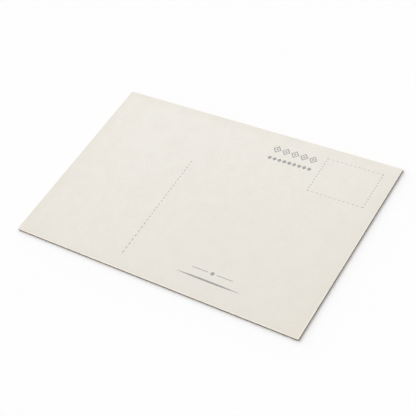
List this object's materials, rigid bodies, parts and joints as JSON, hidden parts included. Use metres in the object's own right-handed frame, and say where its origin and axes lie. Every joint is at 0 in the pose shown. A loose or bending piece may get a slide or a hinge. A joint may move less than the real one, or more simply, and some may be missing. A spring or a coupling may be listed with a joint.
{
  "type": "postcard",
  "caption": "Picture postcard of pasted board with a cream address side, a dashed divider and stamp box, plain printed ornaments, and a film-covered landscape on its other side.",
  "frame": {"origin": "middle of the picture face, which the card lies on", "axes": "+X along the long side, the way the address side is read; +Y towards the edge with the stamp box; +Z out of the address side"},
  "size_m": [0.14, 0.09, 0.0007],
  "materials": {
    "cream_liner": "uncoated, with a fine tooth",
    "grey_ink": "flat grey print",
    "dried_paste": "dull",
    "pulp_core": "rough cut pulp",
    "white_liner": "smooth, uncoated",
    "clay_coat": "smooth satin",
    "sky_print": "process ink",
    "sun_print": "process ink",
    "far_hills_print": "process ink",
    "near_hills_print": "process ink",
    "lake_print": "process ink",
    "clear_film": "clear gloss"
  },
  "bodies": {
    "root": {"address_liner": "cream_liner", "divider_ink": "grey_ink", "stamp_box_ink": "grey_ink", "heading_ink": "grey_ink", "imprint_ink": "grey_ink", "upper_paste": "dried_paste", "core_ply": "pulp_core", "lower_paste": "dried_paste", "picture_liner": "white_liner", "clay_coating": "clay_coat", "sky_ink": "sky_print", "sun_ink": "sun_print", "far_hills_ink": "far_hills_print", "near_hills_ink": "near_hills_print", "lake_ink": "lake_print", "gloss_film": "clear_film"}
  },
  "joints": []
}
